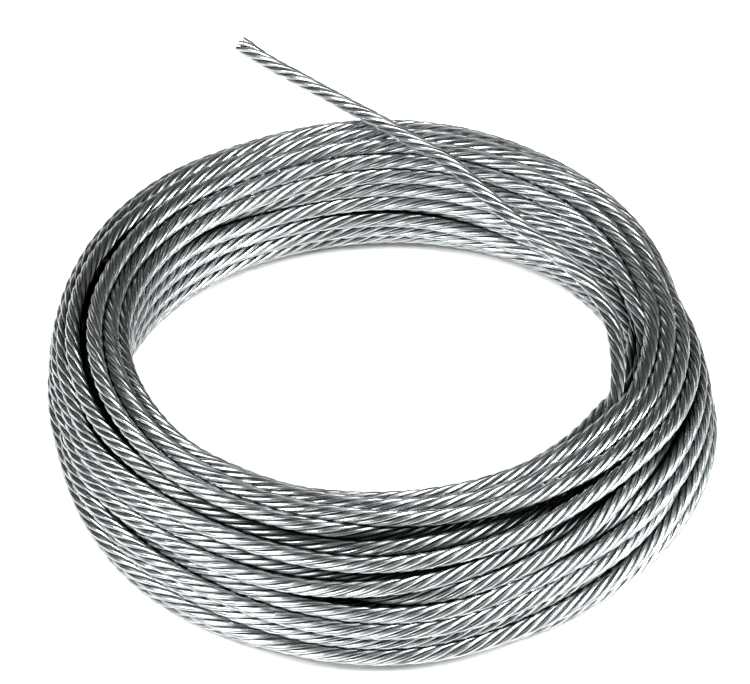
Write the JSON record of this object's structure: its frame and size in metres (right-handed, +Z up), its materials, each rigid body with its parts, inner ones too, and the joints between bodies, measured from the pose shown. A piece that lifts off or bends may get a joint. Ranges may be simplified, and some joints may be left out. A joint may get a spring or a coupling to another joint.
{
  "type": "coil of steel wire rope",
  "caption": "Round flat-lying coil of stranded steel wire rope with an open bore, one rope end free and running out across the coil's back.",
  "frame": {"origin": "middle of the footprint of the coil and its free end together, on the surface it lies on", "axes": "+Z up along the coil's axis; +Y from the coil's front towards the side that the free end runs out over; +X to the right seen from the front"},
  "size_m": [0.25, 0.283, 0.0582],
  "materials": {
    "coil_steel": "bright drawn steel wires, laid up in strands",
    "rope_end_steel": "bright drawn steel wires, laid up in strands, cut square"
  },
  "bodies": {
    "root": {"coil": "coil_steel", "rope_end": "rope_end_steel"}
  },
  "joints": []
}
